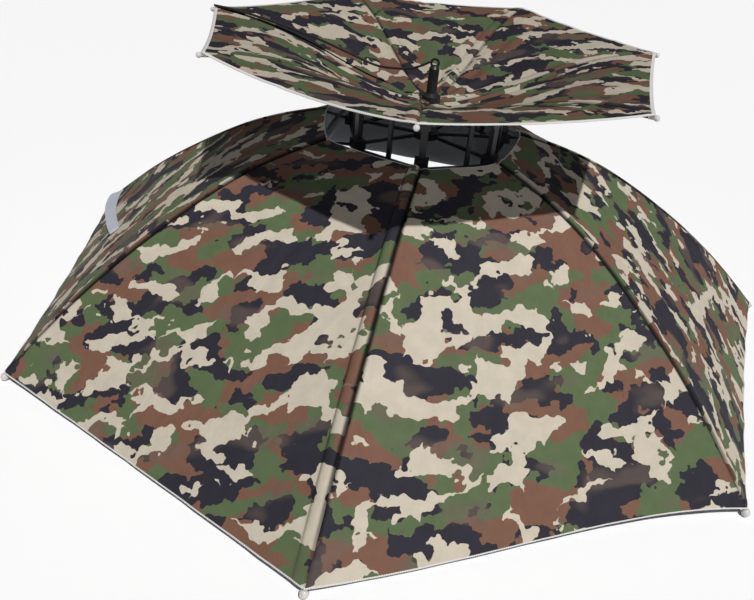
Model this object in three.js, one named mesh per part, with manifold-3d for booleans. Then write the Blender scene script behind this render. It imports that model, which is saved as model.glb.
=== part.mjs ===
// Double umbrella hat: a wide seven-rib canopy with an open vent, and a small dished canopy above it,
// both carried by an open cage that sits round the head. Millimetres, +Z up, wearer's front towards -Y.
import * as THREE from "three";
import { mergeVertices } from "three/addons/utils/BufferGeometryUtils.js";
import Module from "manifold-3d";

const wasm = await Module();
wasm.setup();

// Shared sizes
const gap = 0.3; // between pieces that touch
const clothWall = 1.2;
const seamGap = 0.5; // between neighbouring panels over a rib
const ribRadius = 1.6;
const ribClearance = 0.7; // under the ridge that two panels make over a rib

// Lower canopy
const lowerReach = 475; // axis to the corner of the cloth
const lowerRise = 211; // corner of the cloth to the vent edge
const cornerHeight = 9; // the cloth's corners above the surface that the tips stand on
const ventReach = 119; // axis to a corner of the vent
const lowerDip = 6; // how far a panel sinks between its ribs at the hem
const lowerHemIn = 8; // the tautest hem's bow towards the axis, midway between two tips
const lowerHemUp = 9; // and upwards
const ventHemOut = 3; // the vent edge's bow away from the axis
// The rib's curve. out: share of the way from vent to tip. up: share of lowerRise.
const lowerCurve = [
  { out: 0.0, up: 1.0 },
  { out: 0.09, up: 0.962 },
  { out: 0.2, up: 0.905 },
  { out: 0.31, up: 0.83 },
  { out: 0.42, up: 0.733 },
  { out: 0.52, up: 0.632 },
  { out: 0.62, up: 0.523 },
  { out: 0.71, up: 0.415 },
  { out: 0.79, up: 0.31 },
  { out: 0.87, up: 0.196 },
  { out: 0.94, up: 0.092 },
  { out: 1.0, up: 0.0 },
];

// Upper canopy: its centre is held down on the post, so it is a shallow dish
const upperReach = 268; // post axis to the corner of the cloth
const upperCentreHeight = 244; // the cloth's top at the post, above the corners of the lower canopy
const upperRise = 67; // centre to rim
const upperHole = 8; // the cloth's hole round the post
const upperDip = 1.5;
const upperHemIn = 1.5;
const upperCurve = [
  { out: 0.0, up: 0.0 },
  { out: 0.06, up: 0.015 },
  { out: 0.14, up: 0.07 },
  { out: 0.26, up: 0.2 },
  { out: 0.4, up: 0.4 },
  { out: 0.55, up: 0.63 },
  { out: 0.7, up: 0.81 },
  { out: 0.85, up: 0.93 },
  { out: 1.0, up: 1.0 },
];

// One row for each rib, from the front round by the right. lowerTurn and upperTurn: degrees that its
// tip stands off its even place. lowerOut and upperOut: its reach as a share of the canopy's. lift and
// bulge: how much higher than the others its lower tip ends, and its middle runs. ventSide and sideBow:
// how far its vent end and its middle stand aside, towards the next rib.
const ribs = [
  { lowerTurn: -1.2, lowerOut: 0.998, lift: 0, bulge: 0, ventSide: 15, sideBow: 0,
    upperTurn: -0.8, upperOut: 1.03 },
  { lowerTurn: -0.7, lowerOut: 0.997, lift: 0, bulge: 0, ventSide: 0, sideBow: 7,
    upperTurn: -3.5, upperOut: 0.993 },
  { lowerTurn: -1.3, lowerOut: 1.011, lift: 0, bulge: 0, ventSide: 0, sideBow: 0,
    upperTurn: 2.1, upperOut: 0.961 },
  { lowerTurn: 0, lowerOut: 1.0, lift: 0, bulge: 0, ventSide: 0, sideBow: 0,
    upperTurn: 3.1, upperOut: 1.032 },
  { lowerTurn: 0, lowerOut: 1.04, lift: 10, bulge: 0, ventSide: 0, sideBow: 0,
    upperTurn: 2.5, upperOut: 1.01 },
  { lowerTurn: -1.3, lowerOut: 1.001, lift: 0, bulge: -7, ventSide: 0, sideBow: 0,
    upperTurn: 3.1, upperOut: 0.993 },
  { lowerTurn: 0.2, lowerOut: 1.002, lift: 0, bulge: 2, ventSide: 0, sideBow: 0,
    upperTurn: -4.0, upperOut: 0.975 },
];
// One row for the hems between each rib and the next. bow: the lower hem's bow as a share of the
// tautest one's. peak: where it bows most, as a share of the way. sag: the upper hem's droop midway.
// stay: how far the cage's stay between these ribs stands from midway.
const hems = [
  { bow: 0.95, peak: 0.7, sag: 3, stay: 13 },
  { bow: 0.6, peak: 0.5, sag: 3, stay: 0 },
  { bow: 0.7, peak: 0.5, sag: 0.5, stay: 0 },
  { bow: 0.8, peak: 0.5, sag: 3, stay: 0 },
  { bow: 0.7, peak: 0.5, sag: 3, stay: 0 },
  { bow: 0.35, peak: 0.5, sag: 3, stay: 0 },
  { bow: 0.3, peak: 0.5, sag: 8, stay: 0 },
];
const panelColumns = 6; // facets across a panel

// Cage and hub
const crownShift = 8; // the cage and the upper canopy stand this far to the right of the tips' centre
const crownTurn = 3; // and are turned by these degrees
const cageInset = 26; // corner of the vent to a corner of the cage's rings
const cageReach = ventReach - cageInset;
const ringBar = 4; // the rings' section, square
const ringHeight = 199; // the lower ring's middle above the lower canopy's corners
const postWidth = 7.5;
const postDepth = 6;
const blockWidth = 15; // joint block at a post's foot
const blockDepth = 12;
const blockHeight = 11;
const headWidth = 12; // smaller block at a post's top
const headHeight = 8;
const stayWidth = 4.5;
const hubRadius = 15;
const hubHeight = 7;
const spokeSize = 3.2;
const postRadius = 5.8; // the hub post above the dish
const postTop = 41; // above the dish's centre
const collarRadius = 12; // under the dish, where the upper ribs start
const collarHeight = 7;
const clampRadius = 11; // round the post's foot, on the dish
const clampHeight = 7.5;
const postTaper = 2; // the post's top narrows by this, over postSlope
const postSlope = 3;
const eyeletRadius = 4.2; // middle of the ring at the post's top
const eyeletWire = 1.3;

// Tips, cord and strap
const tipRadius = 4.6;
const tipLength = 8; // beyond the cloth's corner
const upperTipRadius = 3.8;
const upperTipLength = 6.5;
const tipNeck = 6; // the part of a tip's cap that lies under the cloth
const cordRadius = 1.3;
const cordRib = 5; // the cord runs over this rib, counted from the front one as 0
const strapWidth = 14;
const strapThickness = 1.2;
// The cord from the eyelet towards the left rim, where it ends on the cloth's corner. out: from the
// post's axis. up: above the dish's centre.
const cordRoute = [
  { out: 5.9, up: 44 },
  { out: 13, up: 39.5 },
  { out: 24, up: 34.5 },
  { out: 39, up: 31.7 },
  { out: 53, up: 30.6 },
  { out: 64, up: 30.6 },
  { out: 74, up: 32.4 },
  { out: 86, up: 35.8 },
  { out: 99, up: 39.4 },
  { out: 123, up: 46.1 },
  { out: 140, up: 50.4 },
  { out: 160, up: 54.6 },
  { out: 184, up: 59.3 },
  { out: 206, up: 63 },
  { out: 227, up: 65.9 },
  { out: 250, up: 68 },
];
// The closing strap runs from beside the left rib across its panel and up the slope, loose in the
// middle. Each row is a place on the ribbon's upper edge. share: of the way from vent to hem. over: of
// the way across the panel. lift: above the cloth. lean: degrees that the lower edge stands off it.
const strapPanel = 5;
const strapRoute = [
  { share: 0.917, over: 0.03, lift: 1.5, lean: 12 },
  { share: 0.915, over: 0.08, lift: 2.5, lean: 33 },
  { share: 0.886, over: 0.193, lift: 4, lean: 39 },
  { share: 0.846, over: 0.308, lift: 4, lean: 42 },
  { share: 0.806, over: 0.422, lift: 2.8, lean: 32 },
  { share: 0.77, over: 0.524, lift: 1.4, lean: 6 },
];

// Materials
const finishes = {
  cloth: { color: 0x7d7a62, roughness: 0.62, metalness: 0 },
  clothAbove: { color: 0x88846c, roughness: 0.6, metalness: 0 },
  rod: { color: 0x24262a, roughness: 0.35, metalness: 0.6 },
  cage: { color: 0x17181b, roughness: 0.45, metalness: 0 },
  tip: { color: 0xe6e1da, roughness: 0.4, metalness: 0 },
  cord: { color: 0x1b1b1d, roughness: 0.85, metalness: 0 },
  strap: { color: 0xb9bcc0, roughness: 0.7, metalness: 0 },
};
const materials = {};
for (const [name, finish] of Object.entries(finishes)) {
  materials[name] = new THREE.MeshStandardMaterial({ name, ...finish });
}

const ribCount = ribs.length;
const ribStep = (2 * Math.PI) / ribCount;
const halfStepCos = Math.cos(ribStep / 2);
const up = new THREE.Vector3(0, 0, 1);
const vec = (x, y, z) => new THREE.Vector3(x, y, z);
const evenAzimuth = (i) => -Math.PI / 2 + i * ribStep;
const clothBase = cornerHeight; // the lower canopy's corners are at this height
const dishCentre = clothBase + upperCentreHeight;
const ringMiddle = clothBase + ringHeight;

// A bow's height at a share k of its length
const bow = (k) => 4 * k * (1 - k);

// A curve table read at any share of the way out
function read(table, out) {
  let k = 1;
  while (k < table.length - 1 && table[k].out < out) k += 1;
  const a = table[k - 1];
  const b = table[k];
  const t = (out - a.out) / (b.out - a.out);
  return a.up + (b.up - a.up) * t;
}

// Solids and geometries

function solidOf(geometry) {
  const plain = geometry.clone();
  plain.deleteAttribute("normal");
  plain.deleteAttribute("uv");
  const merged = mergeVertices(plain, 1e-4);
  return new wasm.Manifold(
    new wasm.Mesh({
      numProp: 3,
      vertProperties: Float32Array.from(merged.attributes.position.array),
      triVerts: Uint32Array.from(merged.index.array),
    }),
  );
}

function geometryOf(solid) {
  const mesh = solid.getMesh();
  const position = new THREE.BufferAttribute(mesh.vertProperties, 3);
  return new THREE.BufferGeometry()
    .setAttribute("position", position)
    .setIndex(new THREE.BufferAttribute(mesh.triVerts, 1));
}

function joined(geometries) {
  let whole = solidOf(geometries[0]);
  for (const geometry of geometries.slice(1)) whole = whole.add(solidOf(geometry));
  return geometryOf(whole);
}

function fromFaces(points, faces) {
  const flat = points.flatMap((p) => [p.x, p.y, p.z]);
  return new THREE.BufferGeometry()
    .setAttribute("position", new THREE.Float32BufferAttribute(flat, 3))
    .setIndex(faces.flat());
}

// A wall between two grids of points, rows along the ribs and columns from one rib to the next
function wall(outer, inner) {
  const rows = outer.length;
  const columns = outer[0].length;
  const points = [...outer.flat(), ...inner.flat()];
  const at = (side, j, k) => side * rows * columns + j * columns + k;
  const faces = [];
  const quad = (a, b, c, d) => faces.push([a, b, c], [a, c, d]);
  for (let j = 0; j + 1 < rows; j += 1) {
    for (let k = 0; k + 1 < columns; k += 1) {
      quad(at(0, j, k), at(0, j + 1, k), at(0, j + 1, k + 1), at(0, j, k + 1));
      quad(at(1, j, k), at(1, j, k + 1), at(1, j + 1, k + 1), at(1, j + 1, k));
    }
    const last = columns - 1;
    quad(at(0, j, 0), at(1, j, 0), at(1, j + 1, 0), at(0, j + 1, 0));
    quad(at(0, j, last), at(0, j + 1, last), at(1, j + 1, last), at(1, j, last));
  }
  for (let k = 0; k + 1 < columns; k += 1) {
    const end = rows - 1;
    quad(at(0, 0, k), at(0, 0, k + 1), at(1, 0, k + 1), at(1, 0, k));
    quad(at(0, end, k), at(1, end, k), at(1, end, k + 1), at(0, end, k + 1));
  }
  return fromFaces(points, faces);
}

// A skin over sections, each a ring of points that runs the same way; closed joins the last to the first
function skin(sections, closed = false) {
  const count = sections[0].length;
  const points = sections.flat();
  const faces = [];
  const spans = closed ? sections.length : sections.length - 1;
  for (let j = 0; j < spans; j += 1) {
    const here = j * count;
    const next = ((j + 1) % sections.length) * count;
    for (let k = 0; k < count; k += 1) {
      const m = (k + 1) % count;
      faces.push([here + k, here + m, next + m], [here + k, next + m, next + k]);
    }
  }
  if (!closed) {
    const end = (sections.length - 1) * count;
    for (let k = 1; k + 1 < count; k += 1) {
      faces.push([0, k + 1, k], [end, end + k, end + k + 1]);
    }
  }
  return fromFaces(points, faces);
}

// A round rod along points
function rod(points, radius, sides) {
  const sections = points.map((p, j) => {
    const before = points[Math.max(j - 1, 0)];
    const after = points[Math.min(j + 1, points.length - 1)];
    const along = after.clone().sub(before).normalize();
    const side = along.clone().cross(up).normalize();
    const top = side.clone().cross(along).normalize();
    const ring = [];
    for (let k = 0; k < sides; k += 1) {
      const a = (2 * Math.PI * (k + 0.5)) / sides;
      const edge = p.clone().addScaledVector(side, -radius * Math.cos(a));
      ring.push(edge.addScaledVector(top, radius * Math.sin(a)));
    }
    return ring;
  });
  return skin(sections);
}

// A flat bar or ribbon along points, with its width along the given directions
function ribbon(points, widths, width, thickness) {
  const sections = points.map((p, j) => {
    const before = points[Math.max(j - 1, 0)];
    const after = points[Math.min(j + 1, points.length - 1)];
    const along = after.clone().sub(before).normalize();
    const across = widths[j].clone().addScaledVector(along, -widths[j].dot(along)).normalize();
    const face = across.clone().cross(along).normalize();
    const corner = (a, b) =>
      p.clone().addScaledVector(across, (a * width) / 2).addScaledVector(face, (b * thickness) / 2);
    return [corner(-1, -1), corner(-1, 1), corner(1, 1), corner(1, -1)];
  });
  return skin(sections);
}

// A box by its lowest and highest corners
function box(low, high) {
  const size = high.clone().sub(low);
  const middle = high.clone().add(low).multiplyScalar(0.5);
  return new THREE.BoxGeometry(size.x, size.y, size.z).translate(middle.x, middle.y, middle.z);
}

// A turned piece about +Z, from rows of radius and height that start and end on the axis
function turned(rows, sides) {
  const profile = rows.map(([radius, height]) => new THREE.Vector2(radius, height));
  return new THREE.LatheGeometry(profile, sides).rotateX(Math.PI / 2);
}

// Canopies

// A point of the cloth's upper face over a lower rib, share 0 at the vent and 1 at the tip
function lowerPoint(i, share) {
  const rib = ribs[i % ribCount];
  const reach = ventReach + (lowerReach * rib.lowerOut - ventReach) * share;
  const azimuth = evenAzimuth(i) + THREE.MathUtils.degToRad(rib.lowerTurn) * share;
  const odd = rib.lift * share ** 2 + rib.bulge * bow(share);
  const height = clothBase + lowerRise * read(lowerCurve, share) + odd;
  const aside = rib.ventSide * (1 - share) + rib.sideBow * bow(share);
  const out = vec(Math.cos(azimuth), Math.sin(azimuth), 0);
  const next = vec(-Math.sin(azimuth), Math.cos(azimuth), 0);
  return vec(0, 0, height).addScaledVector(out, reach).addScaledVector(next, aside);
}

// The same over an upper rib, share 0 at the post and 1 at the rim
function upperPoint(i, share) {
  const rib = ribs[i % ribCount];
  const reach = upperHole + (upperReach * rib.upperOut - upperHole) * share;
  const azimuth = evenAzimuth(i) + THREE.MathUtils.degToRad(rib.upperTurn);
  const height = dishCentre + upperRise * read(upperCurve, share);
  return vec(reach * Math.cos(azimuth), reach * Math.sin(azimuth), height);
}

// Which way the cloth faces over a rib, square to the rib and level across it
function facing(point, i, share) {
  const step = 0.02;
  const a = point(i, Math.max(share - step, 0));
  const b = point(i, Math.min(share + step, 1));
  const along = b.sub(a).normalize();
  const level = up.clone().cross(along).normalize();
  return along.clone().cross(level).normalize();
}

// How much a panel has sunk at a share k across it
const sunk = (k) => Math.sin(Math.PI * k) ** 0.75;

// The panel between rib i and the next, as a wall
function panel(point, i, table, dip, shape) {
  const outer = [];
  for (const { out: share } of table) {
    const a = point(i, share);
    const b = point(i + 1, share);
    const across = b.clone().sub(a).normalize();
    a.addScaledVector(across, seamGap / 2);
    b.addScaledVector(across, -seamGap / 2);
    const inward = a.clone().add(b).multiplyScalar(-0.5).setZ(0).normalize();
    const row = [];
    for (let c = 0; c <= panelColumns; c += 1) {
      const k = c / panelColumns;
      const p = a.clone().lerp(b, k);
      p.addScaledVector(up, -dip * share * sunk(k));
      shape(p, inward, k, share);
      row.push(p);
    }
    outer.push(row);
  }
  const inner = outer.map((row, j) =>
    row.map((p, c) => {
      const share = table[j].out;
      if (c === 0) return p.clone().addScaledVector(facing(point, i, share), -clothWall);
      if (c === panelColumns) return p.clone().addScaledVector(facing(point, i + 1, share), -clothWall);
      const along = outer[Math.min(j + 1, outer.length - 1)][c].clone().sub(outer[Math.max(j - 1, 0)][c]);
      const across = row[c + 1].clone().sub(row[c - 1]);
      const face = along.cross(across).normalize();
      return p.clone().addScaledVector(face, -clothWall);
    }),
  );
  return wall(outer, inner);
}

// The lower hem bows in and up, and the vent's edge bows out; both bows fade towards the panel's middle
function lowerHem(i) {
  const hem = hems[i];
  const lean = Math.log(0.5) / Math.log(hem.peak);
  return (p, inward, k, share) => {
    const taut = hem.bow * bow(k ** lean) * share ** 6;
    p.addScaledVector(inward, lowerHemIn * taut - ventHemOut * bow(k) * (1 - share) ** 6);
    p.addScaledVector(up, lowerHemUp * taut);
  };
}

function upperHem(i) {
  return (p, inward, k, share) => {
    const fade = bow(k) * share ** 4;
    p.addScaledVector(inward, upperHemIn * fade);
    p.addScaledVector(up, -hems[i].sag * fade);
  };
}

// The middle line of a rib, below the cloth: its points out to where the tip's neck starts, the end
// of the cloth's corner at the same depth, and the heading there
function ribLine(point, i, table, drop, from = 0) {
  const line = [];
  for (const { out: share } of table) {
    if (share < from) continue;
    line.push(point(i, share).addScaledVector(facing(point, i, share), -drop));
  }
  const corner = line.pop();
  const along = corner.clone().sub(line.at(-1)).normalize();
  line.push(corner.clone().addScaledVector(along, -tipNeck - gap));
  return { line, corner, along };
}

// A tip's cap along +Z: a neck that carries on from the rib, and beyond the cloth a round end. Its
// middle is where the cloth's corner ends.
function tipCap(radius, length) {
  const neck = ribRadius + gap;
  return turned(
    [
      [0, -tipNeck],
      [neck, -tipNeck],
      [neck, gap],
      [radius * 0.8, gap + length * 0.1],
      [radius, length * 0.35],
      [radius, length * 0.65],
      [radius * 0.75, length * 0.9],
      [radius * 0.35, length],
      [0, length],
    ],
    12,
  );
}

function turnTo(geometry, place, along) {
  const turn = new THREE.Quaternion().setFromUnitVectors(up, along);
  return geometry.applyQuaternion(turn).translate(place.x, place.y, place.z);
}

// The cloth's lowest point over the clamp, so that the clamp clears the dish
const dishHeightAt = (reach) =>
  dishCentre + upperRise * read(upperCurve, (reach - upperHole) / (upperReach - upperHole));

const hat = new THREE.Group();
const lowerCanopy = new THREE.Group();
const upperCanopy = new THREE.Group();
const cage = new THREE.Group();
const crown = new THREE.Group();
crown.position.x = crownShift;
crown.rotation.z = THREE.MathUtils.degToRad(crownTurn);
crown.add(upperCanopy, cage);
hat.add(lowerCanopy, crown);
crown.updateMatrixWorld(true);

function add(group, name, geometry, material) {
  const mesh = new THREE.Mesh(geometry, material);
  mesh.name = name;
  group.add(mesh);
  return mesh;
}

const wide = 2 * lowerReach;
const underground = solidOf(box(vec(-wide, -wide, -wide), vec(wide, wide, 0)));
const lowerDrop = clothWall + ribClearance + ribRadius;
const upperDrop = clothWall + gap + ribRadius;
const blockFace = cageReach + blockDepth / 2;
const postFoot = ringMiddle + ringBar / 2 + gap;
const blockMiddle = postFoot + blockHeight / 2;

for (let i = 0; i < ribCount; i += 1) {
  const number = i + 1;

  // Cloth
  const lowerCloth = panel(lowerPoint, i, lowerCurve, lowerDip, lowerHem(i));
  const upperCloth = panel(upperPoint, i, upperCurve, upperDip, upperHem(i));
  add(lowerCanopy, `lower_panel_${number}`, lowerCloth, materials.cloth);
  add(upperCanopy, `upper_panel_${number}`, upperCloth, materials.clothAbove);

  // Lower rib, from the block at the post's foot to the tip
  const lower = ribLine(lowerPoint, i, lowerCurve, lowerDrop);
  const lowerLine = lower.line;
  const ribStart = blockFace + gap + ribRadius * 0.6;
  const start = vec(ribStart * Math.cos(evenAzimuth(i)), ribStart * Math.sin(evenAzimuth(i)), blockMiddle);
  lowerLine.unshift(crown.localToWorld(start));
  add(lowerCanopy, `lower_rib_${number}`, rod(lowerLine, ribRadius, 8), materials.rod);

  // Lower tip, cut flat where it stands
  const lowerCap = solidOf(turnTo(tipCap(tipRadius, tipLength), lower.corner, lower.along));
  add(lowerCanopy, `lower_tip_${number}`, geometryOf(lowerCap.subtract(underground)), materials.tip);

  // Upper rib, from the collar to the rim
  const collarShare = (collarRadius + gap - upperHole) / (upperReach - upperHole);
  const upper = ribLine(upperPoint, i, upperCurve, upperDrop, 0.05);
  const upperLine = upper.line;
  const upperStart = upperPoint(i, collarShare);
  upperLine.unshift(upperStart.addScaledVector(facing(upperPoint, i, collarShare), -upperDrop));
  add(upperCanopy, `upper_rib_${number}`, rod(upperLine, ribRadius, 8), materials.rod);

  // Upper tip
  const upperCap = turnTo(tipCap(upperTipRadius, upperTipLength), upper.corner, upper.along);
  add(upperCanopy, `upper_tip_${number}`, upperCap, materials.tip);
}

// The cage's two rings: bars between corners that stand under the ribs
function ringOf(middle) {
  const sections = [];
  for (let i = 0; i < ribCount; i += 1) {
    const c = Math.cos(evenAzimuth(i));
    const s = Math.sin(evenAzimuth(i));
    const half = ringBar / 2;
    const outside = cageReach + half / halfStepCos;
    const inside = cageReach - half / halfStepCos;
    sections.push([
      vec(outside * c, outside * s, middle + half),
      vec(outside * c, outside * s, middle - half),
      vec(inside * c, inside * s, middle - half),
      vec(inside * c, inside * s, middle + half),
    ]);
  }
  return skin(sections, true);
}

const cageInside = cageReach * halfStepCos;
const ribUnderside = dishHeightAt(cageInside) - upperDrop - ribRadius * 1.1;
const topRingMiddle = ribUnderside - gap - ringBar / 2;
const postHead = topRingMiddle - ringBar / 2 - gap;

// Lower ring with its slim stays, which stand about midway between the posts
const stays = [];
for (let i = 0; i < ribCount; i += 1) {
  const stay = box(
    vec(cageInside - ringBar / 2, hems[i].stay - stayWidth / 2, ringMiddle),
    vec(cageInside + ringBar / 2, hems[i].stay + stayWidth / 2, postHead),
  );
  stays.push(stay.rotateZ(evenAzimuth(i) + ribStep / 2));
}
add(cage, "cage_lower_ring", joined([ringOf(ringMiddle), ...stays]), materials.cage);
add(cage, "cage_upper_ring", ringOf(topRingMiddle), materials.cage);

// Posts with a joint block at the foot and a smaller one at the top
const bar = (depth, width, bottom, top) =>
  box(vec(-depth / 2, -width / 2, bottom), vec(depth / 2, width / 2, top));
const postGeometry = joined([
  bar(blockDepth, blockWidth, postFoot, postFoot + blockHeight),
  bar(postDepth, postWidth, postFoot, postHead),
  bar(postDepth, headWidth, postHead - headHeight, postHead),
]);
for (let i = 0; i < ribCount; i += 1) {
  const spot = new THREE.Group();
  spot.rotation.z = evenAzimuth(i);
  const post = add(spot, `cage_post_${i + 1}`, postGeometry.clone(), materials.cage);
  post.position.x = cageReach;
  cage.add(spot);
}

// Hub with a spoke to each post's block
const hubBottom = blockMiddle - hubHeight / 2;
const hubPieces = [
  turned(
    [
      [0, hubBottom],
      [hubRadius, hubBottom],
      [hubRadius, hubBottom + hubHeight],
      [0, hubBottom + hubHeight],
    ],
    21,
  ),
];
const spokeMiddle = hubBottom + hubHeight / 2;
for (let i = 0; i < ribCount; i += 1) {
  const spoke = box(
    vec(hubRadius / 2, -spokeSize / 2, spokeMiddle - spokeSize / 2),
    vec(cageReach - blockDepth / 2 - gap, spokeSize / 2, spokeMiddle + spokeSize / 2),
  );
  hubPieces.push(spoke.rotateZ(evenAzimuth(i)));
}
add(cage, "spoked_hub", joined(hubPieces), materials.cage);

// Hub post: it stands on the hub, carries the upper ribs at its collar and clamps the dish's centre
const collarTop = dishCentre - clothWall - gap;
const collarBottom = collarTop - collarHeight;
const postBottom = hubBottom + hubHeight + gap;
const clampBottom = dishHeightAt(clampRadius) + gap;
const clampTop = clampBottom + clampHeight;
const postEnd = dishCentre + postTop;
const hubPost = turned(
  [
    [0, postBottom],
    [postRadius, postBottom],
    [postRadius, collarBottom],
    [collarRadius, collarBottom],
    [collarRadius, collarTop],
    [postRadius, collarTop],
    [postRadius, clampBottom],
    [clampRadius, clampBottom],
    [clampRadius, clampTop],
    [postRadius, clampTop + postSlope],
    [postRadius, postEnd - postSlope],
    [postRadius - postTaper, postEnd],
    [0, postEnd],
  ],
  16,
);
const eyelet = new THREE.TorusGeometry(eyeletRadius, eyeletWire, 6, 14);
eyelet.rotateX(Math.PI / 2).translate(0, 0, postEnd + eyeletRadius - eyeletWire);
add(cage, "hub_post", joined([hubPost, eyelet]), materials.cage);

// Cord from the eyelet to the rim, above its rib
const cordLine = [];
const cordAzimuth = evenAzimuth(cordRib) + THREE.MathUtils.degToRad(ribs[cordRib].upperTurn);
const cordHeading = vec(Math.cos(cordAzimuth), Math.sin(cordAzimuth), 0);
for (const { out, up: rise } of cordRoute) {
  cordLine.push(vec(0, 0, dishCentre + rise).addScaledVector(cordHeading, out));
}
const cordLift = cordRadius + gap + 0.2; // above the valley between two panels
cordLine.push(upperPoint(cordRib, 1).addScaledVector(facing(upperPoint, cordRib, 1), cordLift));
add(upperCanopy, "rim_cord", rod(cordLine, cordRadius, 8), materials.cord);

// Closing strap: a ribbon that leans off the panel
const strapLine = [];
const strapWidths = [];
for (const { share, over, lift, lean } of strapRoute) {
  const onCloth = (k, along) => {
    const a = lowerPoint(strapPanel, along);
    return a.lerp(lowerPoint(strapPanel + 1, along), k).addScaledVector(up, -lowerDip * along * sunk(k));
  };
  const slope = onCloth(over, share + 0.02).sub(onCloth(over, share - 0.02)).normalize();
  const across = onCloth(over + 0.02, share).sub(onCloth(over - 0.02, share)).normalize();
  const face = slope.clone().cross(across).normalize();
  const turn = THREE.MathUtils.degToRad(lean);
  const wide = slope.multiplyScalar(Math.cos(turn)).addScaledVector(face, Math.sin(turn));
  strapLine.push(onCloth(over, share).addScaledVector(face, lift).addScaledVector(wide, strapWidth / 2));
  strapWidths.push(wide.negate());
}
const strap = ribbon(strapLine, strapWidths, strapWidth, strapThickness);
add(lowerCanopy, "closing_strap", strap, materials.strap);

// The origin is the middle of the footprint, on the surface that the tips stand on
hat.updateMatrixWorld(true);
const extent = new THREE.Box3().setFromObject(hat, true);
const footprint = extent.getCenter(vec(0, 0, 0));
hat.position.set(-footprint.x, -footprint.y, -extent.min.z);

export default hat;
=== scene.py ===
# A double umbrella hat: camouflage cloth over seven ribs, an open black cage, and a small dished canopy
# on top. Shapes are worked out in millimetres in the hat's own frame and turned into metres at the end.
import math

import bpy
import numpy as np
from mathutils import Matrix, Vector


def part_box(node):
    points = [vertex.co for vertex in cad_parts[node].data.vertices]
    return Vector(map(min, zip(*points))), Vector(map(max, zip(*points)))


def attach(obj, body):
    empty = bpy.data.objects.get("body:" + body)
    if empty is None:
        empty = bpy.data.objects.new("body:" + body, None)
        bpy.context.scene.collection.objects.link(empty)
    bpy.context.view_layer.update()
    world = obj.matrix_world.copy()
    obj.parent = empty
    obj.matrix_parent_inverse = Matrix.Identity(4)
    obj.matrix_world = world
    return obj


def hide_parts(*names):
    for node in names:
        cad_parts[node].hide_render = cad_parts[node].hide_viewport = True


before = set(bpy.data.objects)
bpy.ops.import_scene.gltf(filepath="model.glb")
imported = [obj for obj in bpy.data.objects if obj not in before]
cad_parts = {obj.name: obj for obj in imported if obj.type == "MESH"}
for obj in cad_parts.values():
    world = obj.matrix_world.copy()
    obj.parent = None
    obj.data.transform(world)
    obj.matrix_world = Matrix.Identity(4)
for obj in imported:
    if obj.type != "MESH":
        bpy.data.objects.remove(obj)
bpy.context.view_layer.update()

MM = 0.001

# Places taken from the frame
post_low, post_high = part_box("hub_post")
foot_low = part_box("lower_tip_1")[0]

# Shared sizes, in millimetres
CROWN_SHIFT = 8.0  # the crown's axis is to the right of the lower canopy's
CROWN_TURN = 3.0  # degrees
CROWN_X = (post_low.x + post_high.x) / 2 / MM
CROWN_Y = (post_low.y + post_high.y) / 2 / MM
AXIS_X = CROWN_X - CROWN_SHIFT
AXIS_Y = CROWN_Y
RIB_COUNT = 7
RIB_STEP = 2 * math.pi / RIB_COUNT
CORNER_HEIGHT = 9.0
CLOTH = 0.9  # thickness of the cloth shown

# Lower canopy
LOWER_REACH = 475.0
LOWER_RISE = 211.0
VENT_REACH = 119.0
LOWER_DIP = 6.0  # the cloth's sag between two ribs
LOWER_HEM_IN = 8.0  # how far the hem is drawn in and up between two ribs
LOWER_HEM_UP = 9.0
VENT_HEM_OUT = 3.0
# Rows of (share of the way from vent to tip, share of the rise)
LOWER_CURVE = [
    (0.0, 1.0), (0.09, 0.962), (0.2, 0.905), (0.31, 0.83), (0.42, 0.733), (0.52, 0.632),
    (0.62, 0.523), (0.71, 0.415), (0.79, 0.31), (0.87, 0.196), (0.94, 0.092), (1.0, 0.0),
]

# Upper canopy
UPPER_REACH = 268.0
UPPER_CENTRE = 253.0  # height of the cloth at the post
UPPER_RISE = 67.0
UPPER_HOLE = 8.0
UPPER_DIP = 1.5
UPPER_HEM_IN = 1.5
# Rows of (share of the way from post to tip, share of the rise)
UPPER_CURVE = [
    (0.0, 0.0), (0.06, 0.015), (0.14, 0.07), (0.26, 0.2), (0.4, 0.4), (0.55, 0.63),
    (0.7, 0.81), (0.85, 0.93), (1.0, 1.0),
]

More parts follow.
